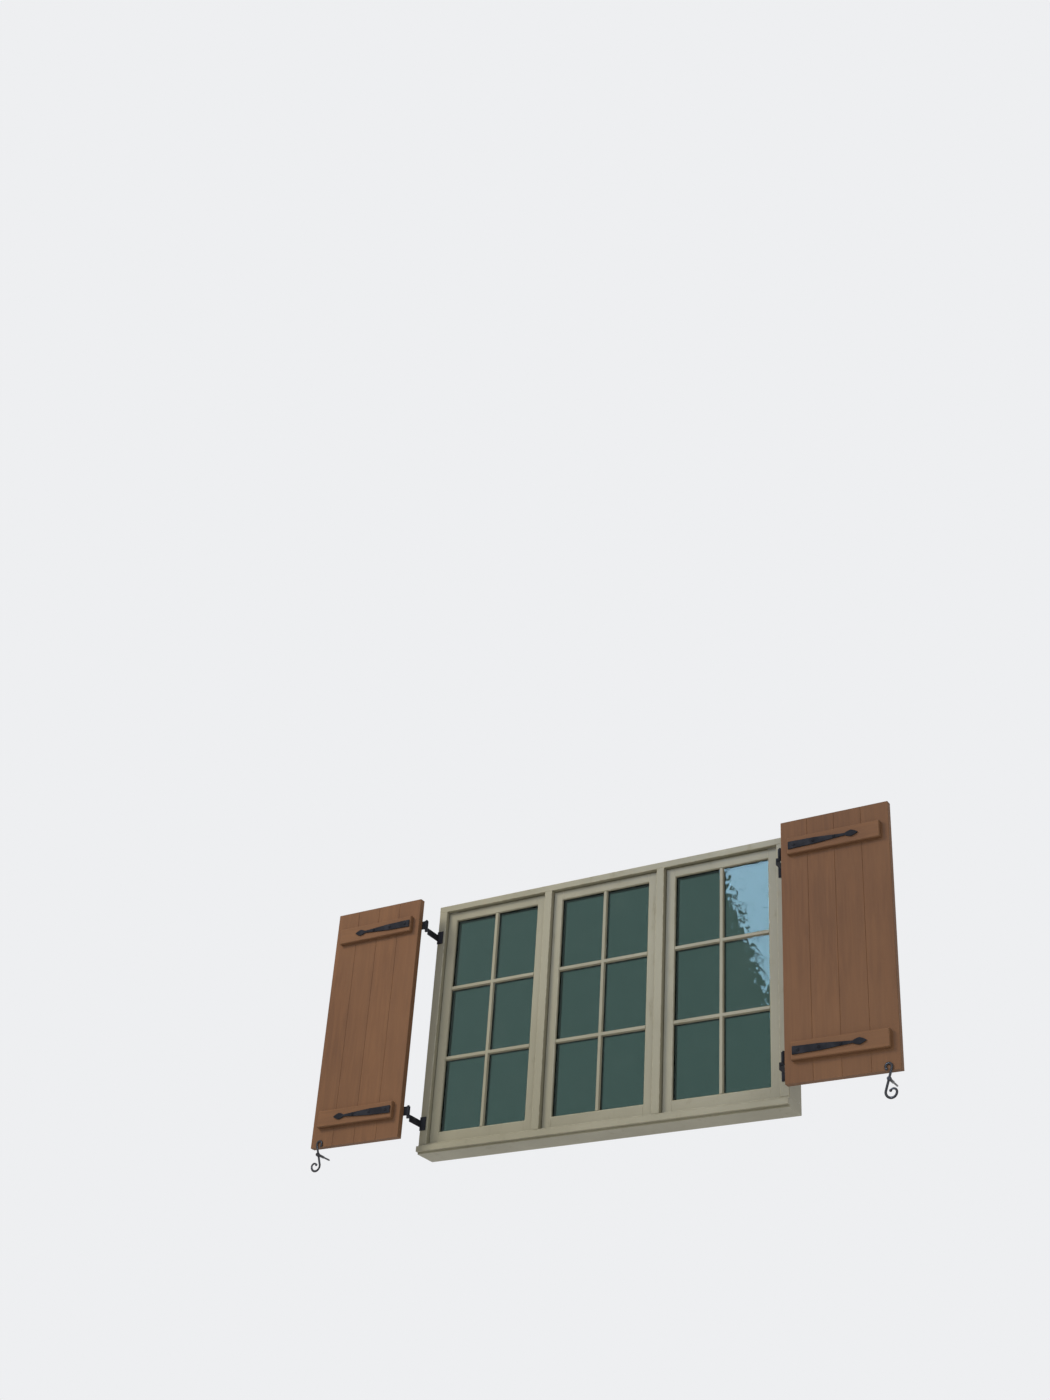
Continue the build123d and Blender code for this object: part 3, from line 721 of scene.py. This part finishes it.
def slottedHead(radius, height, turn):
    # A domed head on its own Z, its slot turned by so many degrees.
    look = screwLook
    shape = bmesh.new()
    dome = [(radius * wide, height * high) for wide, high in look["dome"]]
    turned(shape, [(0, 0), *dome, (0, height)], look["steps"])
    half = radius * look["slotWidth"] / 2
    for offset in (-half, half):
        everything = shape.verts[:] + shape.edges[:] + shape.faces[:]
        bmesh.ops.bisect_plane(shape, geom=everything, plane_co=(0, offset, 0), plane_no=(0, 1, 0))
    nearTop = height * 0.99
    flat = [face for face in shape.faces if min(vert.co.z for vert in face.verts) > nearTop]
    top = [face for face in flat if abs(face.calc_center_median().y) < half]
    sunk = bmesh.ops.extrude_face_region(shape, geom=top)
    corners = [item for item in sunk["geom"] if isinstance(item, bmesh.types.BMVert)]
    bmesh.ops.translate(shape, vec=(0, 0, -height * look["slotDepth"]), verts=corners)
    bmesh.ops.delete(shape, geom=top, context="FACES")
    bmesh.ops.recalc_face_normals(shape, faces=shape.faces)
    shape.transform(Matrix.Rotation(math.radians(turn), 4, "Z"))
    return shape


def screwGroup(name, places, facing, size, material, nodeName):
    # Heads of one (radius, height) at the places, all facing one way, on the body that carries the node.
    group = bmesh.new()
    for index, place in enumerate(places):
        head = slottedHead(*size, screwLook["firstTurn"] + index * screwLook["nextTurn"])
        head.transform(outwards(facing, (1, 0, 0), place))
        join(group, head)
    return finishPiece(name, group, material, nodeName)


# Wooden members: eased, and painted or stained along their own grain

easing = {
    "frame": 0.0012,
    "sash": 0.001,
    "bar": 0.0006,
    "bead": 0.0012,
    "board": 0.0008,
    "batten": 0.0008,
    "strap": 0.0009,
    "hinge": 0.0006,
    "bracket": 0.0006,
    "post": 0.0008,
    "plate": 0.0003,
    "cover": 0.0022,
    "keeper": 0.0006,
}

# How each kind of timber ends its name, its easing, its finish and the way its grain runs
timber = (
    (("_head", "_sill"), "frame", puttyCoat, "level"),
    (("_jamb", "_mullion"), "frame", puttyCoat, "upright"),
    (("_stile",), "sash", puttyCoat, "upright"),
    (("_rail",), "sash", puttyCoat, "level"),
    (("_glazing_bars",), "bar", puttyCoat, "mixed"),
    (("_glazing_beads", "_stops"), "bead", puttyCoat, "mixed"),
    (("_shutter_boards",), "board", boardStain, "upright"),
    (("_shutter_battens",), "batten", battenStain, "level"),
)


def dressTimber():
    for name in frame["nodes"]:
        for endings, kind, material, run in timber:
            if name.endswith(endings):
                easedCopy(name, easing[kind], material, run=run)


dressTimber()
print("timber dressed")


# Sealed glass units: two panes on a metal spacer that also crosses behind the glazing bars

unitLook = {
    "paneThickness": 0.004,
    "paneEasing": 0.0004,
    "spacerInset": 0.003,
    "spacerWidth": 0.0095,
    "spacerEasing": 0.0005,
    "barWidth": 0.012,
    "barGap": 0.001,
    "columns": 2,
    "rows": 3,
}


def panes(nodeName):
    low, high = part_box(nodeName)
    thickness = unitLook["paneThickness"]
    for label, front, glass in (
        ("outer_pane", low.y, outerGlass),
        ("inner_pane", high.y - thickness, innerShadeGlass),
    ):
        shape = panel(low.x, high.x, low.z, high.z, front)
        thicken(shape, (0, thickness, 0))
        ease(shape, unitLook["paneEasing"])
        finishPiece(f"{nodeName}_{label}", shape, glass, nodeName, [nodeName])


def spacer(nodeName):
    look = unitLook
    low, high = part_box(nodeName)
    inset, width, half = look["spacerInset"], look["spacerWidth"], look["barWidth"] / 2
    front, back = low.y + look["paneThickness"], high.y - look["paneThickness"]
    left, right, bottom, top = low.x + inset, high.x - inset, low.z + inset, high.z - inset
    shape = panel(left, right, bottom, top, front)
    middle = shape.faces[:]
    bmesh.ops.inset_region(shape, faces=middle, thickness=width, use_even_offset=True)
    bmesh.ops.delete(shape, geom=middle, context="FACES")
    thicken(shape, (0, back - front, 0))
    columns = (left + (right - left) * count / look["columns"] for count in range(1, look["columns"]))
    rows = (bottom + (top - bottom) * count / look["rows"] for count in range(1, look["rows"]))
    bars = [(x - half, x + half, bottom + width, top - width) for x in columns]
    bars += [(left + width, right - width, z - half, z + half) for z in rows]
    for sizes in bars:
        bar = panel(*sizes, front + look["barGap"])
        thicken(bar, (0, back - front - 2 * look["barGap"], 0))
        join(shape, bar)
    ease(shape, look["spacerEasing"])
    finishPiece(nodeName + "_spacer", shape, spacerSteel, nodeName)


for sash in sashes:
    panes(sash + "_glass")
    spacer(sash + "_glass")
print("glass units made")


# Shutter ironwork

strapLook = {"head": (0.007, 0.003), "fromButt": (0.024, 0.11, 0.2)}


def straps(side, sign):
    name = side + "_shutter_straps"
    easedCopy(name, easing["strap"], strapIron)
    low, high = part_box(name)
    bottom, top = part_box(side + "_strap_screws")
    butt = low.x if sign > 0 else high.x
    radius = strapLook["head"][0]
    middles = (bottom.z + radius, top.z - radius)
    places = [(butt + sign * reach, low.y, z) for z in middles for reach in strapLook["fromButt"]]
    heads = screwGroup(side + "_strap_screw_heads", places, (0, -1, 0), strapLook["head"], strapIron, name)
    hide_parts(side + "_strap_screws")


# Screws that show only from indoors or from the side: through the hinge plates, brackets and boards
fixings = {
    "plateHead": (0.0045, 0.0014),
    "hingeReach": (0.046, 0.074, 0.102),
    "hingeTall": 0.04,
    "hingeStagger": 0.009,
    "hingeThickness": 0.004,
    "bracketInset": 0.017,
    "bracketRise": (-0.035, 0.005),
    "bracketThickness": 0.004,
    "boardHead": (0.0042, 0.0006),
    "boardStagger": 0.03,
    "boardRise": 0.018,
    "battenHalf": 0.037,
}


def plateScrews(side, sign):
    look = fixings
    hinges = side + "_shutter_hinges"
    low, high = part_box(hinges)
    axis = jointOf[side + "_shutter_swing"]["pos_m"][0]
    seats = (low.z, high.z - look["hingeTall"])
    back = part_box(side + "_shutter_boards")[1].y + look["hingeThickness"]
    places = []
    for seat in seats:
        for index, reach in enumerate(look["hingeReach"]):
            rise = look["hingeTall"] / 2 + look["hingeStagger"] * (-1) ** index
            places.append((axis + sign * reach, back, seat + rise))
    screwGroup(side + "_hinge_screws", places, (0, 1, 0), look["plateHead"], strapIron, hinges)
    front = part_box("frame_head")[0].y - look["bracketThickness"]
    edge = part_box(side + "_jamb")[1 if sign > 0 else 0].x - sign * look["bracketInset"]
    places = [(edge, front, seat + rise) for seat in seats for rise in look["bracketRise"]]
    name = side + "_bracket_screws"
    screwGroup(name, places, (0, -1, 0), look["plateHead"], strapIron, "pintle_brackets")


def boardScrews(side, sign):
    # Two through each outer board from behind into each batten.
    look = fixings
    boards = side + "_shutter_boards"
    low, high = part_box(boards)
    inner = low.x if sign > 0 else high.x
    bottom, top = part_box(side + "_shutter_battens")
    places = []
    for board in (1, 2, 3):
        middle = inner + sign * stainLook["boardWidth"] * (board + 0.5)
        for centre in (bottom.z + look["battenHalf"], top.z - look["battenHalf"]):
            for lean in (-1, 1):
                x = middle + lean * look["boardStagger"]
                places.append((x, high.y, centre + lean * look["boardRise"]))
    screwGroup(side + "_board_screws", places, (0, 1, 0), look["boardHead"], strapIron, boards)


holdbackLook = {
    "upperCentre": (0, 0.048),
    "upperRadius": 0.013,
    "upperEnd": 222,
    "lowerCentre": (0.005, -0.0515),
    "lowerRadius": 0.022,
    "scrollRadius": 0.013,
    "scrollEnd": 150,
    "barRadius": 0.0052,
    "tipRadius": 0.0036,
    "ballRadius": 0.0062,
    "thickestAt": 0.42,
    "hubRadius": 0.009,
    "hubRounding": 0.0015,
    "hubSteps": 28,
    "arcSteps": 14,
    "thickness": 0.006,
    "smoothTo": 50,
}


def arc(centre, radius, start, end, steps):
    spots = []
    for step in range(steps + 1):
        angle = math.radians(start + (end - start) * step / steps)
        spots.append((centre[0] + radius * math.cos(angle), centre[1] + radius * math.sin(angle)))
    return spots


def scrollLine():
    # Two round hooks joined by the slanting stem that touches both, seen from the front.
    look = holdbackLook
    upper, lower = Vector(look["upperCentre"]), Vector(look["lowerCentre"])
    across = lower - upper
    heading = math.degrees(math.atan2(across.y, across.x))
    reach = (look["upperRadius"] + look["lowerRadius"]) / across.length
    start = heading + math.degrees(math.acos(reach))
    steps = look["arcSteps"]
    curl = (lower.x + look["lowerRadius"] - look["scrollRadius"], lower.y)
    line = arc(upper, look["upperRadius"], look["upperEnd"], start, steps)
    line += arc(lower, look["lowerRadius"], start + 180, 360, steps)
    line += arc(curl, look["scrollRadius"], 0, look["scrollEnd"], steps)[1:]
    return line


def holdback(side, sign):
    look = holdbackLook
    nodeName = side + "_holdback"
    pivot = Vector(jointOf[side + "_holdback_turn"]["pos_m"])
    line = scrollLine()
    last = len(line) - 1
    bar, tip, thickest = look["barRadius"], look["tipRadius"], look["thickestAt"]
    shares = [min(1, abs(index / last - thickest) / (1 - thickest)) for index in range(last + 1)]
    radii = [bar + (tip - bar) * share**2 for share in shares]
    half = look["thickness"] / 2
    shape = rod([(sign * x, 0, z) for x, z in line], radii, flatness=half / bar)
    for x, z in (line[0], line[-1]):
        ball = bmesh.new()
        bmesh.ops.create_uvsphere(ball, u_segments=20, v_segments=12, radius=look["ballRadius"])
        bmesh.ops.scale(ball, vec=(1, half / look["ballRadius"], 1), verts=ball.verts)
        bmesh.ops.translate(ball, vec=(sign * x, 0, z), verts=ball.verts)
        join(shape, ball)
    hub = bmesh.new()
    turned(hub, roundedEnd(look["hubRadius"], -half, half, look["hubRounding"]), look["hubSteps"])
    hub.transform(outwards((0, -1, 0), (1, 0, 0), (0, 0, 0)))
    join(shape, hub)
    bmesh.ops.translate(shape, vec=pivot, verts=shape.verts)
    bmesh.ops.recalc_face_normals(shape, faces=shape.faces)
    finishPiece(side + "_holdback_scroll", shape, glossIron, nodeName, [nodeName], look["smoothTo"])


for side, sign in sides.items():
    straps(side, sign)
    plateScrews(side, sign)
    boardScrews(side, sign)
    holdback(side, sign)
    easedCopy(side + "_shutter_hinges", easing["hinge"], strapIron)
easedCopy("pintle_brackets", easing["bracket"], strapIron)
easedCopy("holdback_posts", easing["post"], glossIron)
print("ironwork made")


# Window hardware

crankLook = {
    "hub": 0.009,
    "hubRounding": 0.002,
    "hubProud": 0.0008,
    "shaft": 0.004,
    "shaftDepth": 0.014,
    "low": 0.0003,
    "top": 0.0143,
    "chamfer": 0.001,
    "arm": ((0, 0.0055), (0.02, 0.005), (0.045, 0.0038), (0.062, 0.0042), (0.077, 0.0055)),
    "armLow": 0.0083,
    "armEasing": 0.0011,
    "easeFrom": 50,
    "length": 0.078,
    "end": 0.0055,
    "foldPin": ((0.0145, -0.0058, 0.0113), (0.0145, 0.0058, 0.0113)),
    "foldPinRadius": 0.0021,
    "gripSteps": 28,
    "grip": ((0, 0.0133), (0.0035, 0.0133), (0.0035, 0.0143), (0.0036, 0.0162), (0.005, 0.0168)),
    "gripSwell": ((0.0056, 0.021), (0.0066, 0.028), (0.007, 0.0345), (0.0067, 0.0378)),
    "gripCap": ((0.0052, 0.0397), (0.0028, 0.0403), (0, 0.0403)),
    "setScrew": (0.0034, 0.0007, 30),
    "collarSteps": 36,
    "collar": ((0.0098, -0.0005), (0.0132, -0.0005), (0.0128, 0.0018), (0.0101, 0.0018)),
    "coverHead": (0.0036, 0.0012),
    "coverScrews": (0.026, 0.0315),
}


def crank(side, sign):
    # A hub on the shaft, a waisted arm with a fold pin, and a turned grip at its end.
    look = crankLook
    nodeName = side + "_crank_handle"
    joint = jointOf[side + "_crank_turn"]
    place = outwards(joint["axis"], (-sign, 0, 0), joint["pos_m"])
    hub, low, top, shaft = look["hub"], look["low"], look["top"], look["shaft"]
    foot, chamfer, proud = -look["shaftDepth"], look["chamfer"], top + look["hubProud"]
    stem = [(0, foot), (shaft, foot), (shaft, low), (hub - chamfer, low)]
    shape = bmesh.new()
    turned(shape, stem + roundedEnd(hub, low + chamfer, proud, look["hubRounding"])[1:])
    arm = blade([*look["arm"], *roundTip(look["length"], look["end"])[1:]], look["armLow"], top)
    ease(arm, look["armEasing"], segments=3, easeFrom=look["easeFrom"])
    grip = bmesh.new()
    turned(grip, look["grip"] + look["gripSwell"] + look["gripCap"], look["gripSteps"])
    bmesh.ops.translate(grip, vec=(look["length"], 0, 0), verts=grip.verts)
    setScrew = slottedHead(*look["setScrew"])
    bmesh.ops.translate(setScrew, vec=(0, 0, proud), verts=setScrew.verts)
    for part in (arm, rod(look["foldPin"], [look["foldPinRadius"]] * 2), grip, setScrew):
        join(shape, part)
    shape.transform(place)
    finishPiece(nodeName + "_shaped", shape, handleEnamel, nodeName, [nodeName])

    body = side + "_operator_body"
    collar = bmesh.new()
    turned(collar, look["collar"], look["collarSteps"], ring=True)
    collar.transform(place)
    finishPiece(side + "_crank_collar", collar, handleEnamel, body)
    spread, depth = look["coverScrews"]
    places = [(joint["pos_m"][0] + way * spread, depth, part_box(body)[1].z) for way in (-1, 1)]
    screwGroup(side + "_operator_screws", places, (0, 0, 1), look["coverHead"], zincSteel, body)


leverLook = {
    "hub": 0.0055,
    "hubRounding": 0.0012,
    "hubProud": 0.0007,
    "hubSteps": 28,
    "tongueLevels": (0.0233, 0.0273),
    "tongue": ((0, 0.0045), (0.019, 0.0045), (0.022, 0.00279)),
    "tongueEasing": 0.0005,
    "leverLevels": (0.0318, 0.0368),
    "lever": ((0, 0.0045), (0.012, 0.0045), (0.03, 0.0034), (0.055, 0.0032)),
    "grip": ((0.075, 0.004), (0.088, 0.0045)),
    "leverEasing": 0.0011,
    "easeFrom": 50,
    "length": 0.096,
    "half": 0.0045,
    "dip": (0.02, 0.08, 0.0012),
    "plateFace": 0.023,
    "plateHead": (0.0034, 0.0002),
    "plateRise": 0.0195,
    "keeperBase": 0.002,
    "keeperHead": (0.0032, 0.001),
    "keeperRise": 0.0118,
}


def sashLock(side, sign):
    # A round hub with a waisted lever that swells to a thumb grip, and the tongue behind it.
    look = leverLook
    nodeName = side + "_lock_lever"
    x, _, z = jointOf[side + "_lock_turn"]["pos_m"]
    back, front = look["tongueLevels"]
    low, high = look["leverLevels"]
    shape = bmesh.new()
    end = roundedEnd(look["hub"], back, high + look["hubProud"], look["hubRounding"])
    turned(shape, end, look["hubSteps"])
    tip = roundTip(look["length"], look["half"])
    lever = blade([*look["lever"], *look["grip"], *tip], low, high)
    first, last, dip = look["dip"]
    for vert in lever.verts:
        if vert.co.z > (low + high) / 2 and first < vert.co.x < last:
            vert.co.z -= dip
    ease(lever, look["leverEasing"], segments=3, easeFrom=look["easeFrom"])
    join(shape, lever)
    shape.transform(outwards((0, 1, 0), (sign, 0, 0), (0, 0, 0)))
    tongue = blade(look["tongue"], back, front)
    ease(tongue, look["tongueEasing"])
    tongue.transform(outwards((0, 1, 0), (0, 0, 1), (0, 0, 0)))
    join(shape, tongue)
    bmesh.ops.translate(shape, vec=(x, 0, z), verts=shape.verts)
    finishPiece(nodeName + "_shaped", shape, handleEnamel, nodeName, [nodeName])

    places = [(x, look["plateFace"], z + way * look["plateRise"]) for way in (-1, 1)]
    screwGroup(side + "_lock_screws", places, (0, 1, 0), look["plateHead"], zincSteel, "lock_bases")
    keeper = side + "_lock_keeper"
    low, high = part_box(keeper)
    middle, face = (low.x + high.x) / 2, low.y + look["keeperBase"]
    places = [(middle, face, z + way * look["keeperRise"]) for way in (-1, 1)]
    screwGroup(side + "_keeper_screws", places, (0, 1, 0), look["keeperHead"], zincSteel, keeper)


for side, sign in sides.items():
    crank(side, sign)
    sashLock(side, sign)
for name in frame["nodes"]:
    if "pivot" in name or name.endswith(("arm_track", "operator_arm")):
        easedCopy(name, easing["plate"], zincSteel)
    elif name.endswith("operator_body"):
        easedCopy(name, easing["cover"], handleEnamel, segments=3)
    elif name.endswith("lock_keeper") or name == "lock_bases":
        easedCopy(name, easing["keeper"], handleEnamel)
    elif name == "weatherstrips":
        coat(name, sealRubber)
    elif name.endswith("packers"):
        coat(name, packerGrey)
print("hardware finished")


# Studio: a pale floor, a plain backdrop, a soft key from the upper left and a patch of sky for the glass

studio = {
    "floorHeight": -4.0,
    "floorRadius": 60,
    "floorColour": tone(222, 222, 221),
    "floorFades": (2.5, 9),
    "backdrop": tone(238, 239, 241),
    "ambient": 0.5,
    "ambientColour": tone(250, 251, 255),
    "aim": (0, -0.1, 0.6),
}

# Each with its place, size in metres, power in watts and colour
lamps = {
    "key": ((-5.2, -5.0, 5.6), (2.6, 2.6), 640, tone(255, 250, 242)),
    "fill": ((5.0, -5.5, 0.4), (4.0, 4.0), 120, tone(244, 248, 255)),
    "back": ((1.5, 6.5, 4.2), (4.5, 3.0), 330, tone(250, 251, 255)),
    "skyPanel": ((-1.78, -6.2, 4.1), (1.16, 2.1), 215, tone(192, 219, 255)),
}

# Shares of the sky panel's width and height
skyEdge = {"slant": 0.56, "top": 0.66, "jagSize": 0.028, "jagDepth": 0.62, "fades": (-0.01, 0.05)}


def studioFloor():
    # The floor takes the object's shadow, and far from it fades into the backdrop.
    shape = bmesh.new()
    bmesh.ops.create_circle(shape, cap_ends=True, segments=96, radius=studio["floorRadius"])
    bmesh.ops.translate(shape, vec=(0, 0, studio["floorHeight"]), verts=shape.verts)
    mesh = bpy.data.meshes.new("studio_floor")
    shape.to_mesh(mesh)
    shape.free()
    finish = Finish("studio_floor")
    flat = finish.place((1, 1, 0))
    distance = finish.add("ShaderNodeVectorMath", {"operation": "LENGTH"}, {0: flat}, output=1)
    far = finish.ramp(distance, *studio["floorFades"]) * finish.seenDirectly()
    near = finish.add("ShaderNodeBsdfDiffuse", {}, {"Color": studio["floorColour"]})
    plain = finish.add("ShaderNodeEmission", {}, {"Color": studio["backdrop"], "Strength": 1})
    mixed = finish.add("ShaderNodeMixShader", {}, {0: far, 1: near, 2: plain})
    finish.add("ShaderNodeOutputMaterial", {}, {"Surface": mixed})
    mesh.materials.append(finish.owner)
    floor = bpy.data.objects.new("studio_floor", mesh)
    scene.collection.objects.link(floor)


def slantedSky(lamp):
    # The sky panel thins out on a slant with a ragged edge.
    sky = Finish("slanted_sky", lamp)
    spot = sky.add("ShaderNodeNewGeometry", output=5)
    across = sky.add("ShaderNodeSeparateXYZ", {}, {"Vector": spot})
    up = sky.add("ShaderNodeSeparateXYZ", {}, {"Vector": spot}, output=1)
    jagged = {"Vector": spot, "Scale": 1 / skyEdge["jagSize"], "Detail": 5, "Roughness": 0.7}
    jags = sky.add("ShaderNodeTexNoise", {}, jagged) - 0.5
    depth = across + (up - skyEdge["top"]) * skyEdge["slant"] + jags * skyEdge["jagDepth"]
    glow = sky.add("ShaderNodeEmission", {}, {"Strength": sky.ramp(depth, *skyEdge["fades"])})
    sky.add("ShaderNodeOutputLight", {}, {"Surface": glow})


def softbox(name, inGloss=False):
    # Lights the object softly and is never seen, or lights nothing and is seen in gloss alone.
    place, size, power, colour = lamps[name]
    lamp = bpy.data.lights.new(name, "AREA")
    lamp.shape = "RECTANGLE"
    lamp.size, lamp.size_y = size
    lamp.energy = power
    lamp.color = colour[:3]
    holder = bpy.data.objects.new(name, lamp)
    scene.collection.objects.link(holder)
    holder.location = place
    holder.rotation_mode = "QUATERNION"
    holder.rotation_quaternion = (Vector(studio["aim"]) - Vector(place)).to_track_quat("-Z", "Y")
    holder.visible_camera = False
    holder.visible_diffuse = not inGloss
    holder.visible_glossy = inGloss
    holder.visible_transmission = False


def studioSky():
    # Even light from all round. The camera, gloss and glass see the plain backdrop instead.
    scene.world = bpy.data.worlds.new("studio_sky")
    sky = Finish("studio_sky", scene.world)
    even = {"Color": studio["ambientColour"], "Strength": studio["ambient"]}
    light = sky.add("ShaderNodeBackground", {}, even)
    plain = sky.add("ShaderNodeBackground", {}, {"Color": studio["backdrop"], "Strength": 1})
    mixed = sky.add("ShaderNodeMixShader", {}, {0: sky.seenDirectly(), 1: light, 2: plain})
    sky.add("ShaderNodeOutputWorld", {}, {"Surface": mixed})


studioFloor()
studioSky()
for lampName in ("key", "fill", "back"):
    softbox(lampName)
softbox("skyPanel", inGloss=True)
slantedSky(bpy.data.lights["skyPanel"])
print("studio lit")


# Camera: standing below on the right, looking up at the window

shot = {
    "place": (3.5327, -6.1836, -2.2930),
    "turn": 33.266,
    "up": 31.653,
    "roll": 4.1,
    "lens": 45.08,
    "sensor": 36,
    "nearest": 0.1,
    "farthest": 200,
}


def takePosition():
    data = bpy.data.cameras.new("camera")
    data.sensor_width = shot["sensor"]
    data.lens = shot["lens"]
    data.clip_start = shot["nearest"]
    data.clip_end = shot["farthest"]
    camera = bpy.data.objects.new("camera", data)
    scene.collection.objects.link(camera)
    turn, tilt, roll = (
        Matrix.Rotation(math.radians(angle), 4, axis)
        for angle, axis in ((shot["turn"], "Z"), (90 + shot["up"], "X"), (shot["roll"], "Z"))
    )
    camera.matrix_world = Matrix.Translation(shot["place"]) @ (turn @ tilt) @ roll
    scene.camera = camera


takePosition()
scene.view_settings.view_transform = "Standard"

print("scene ready")
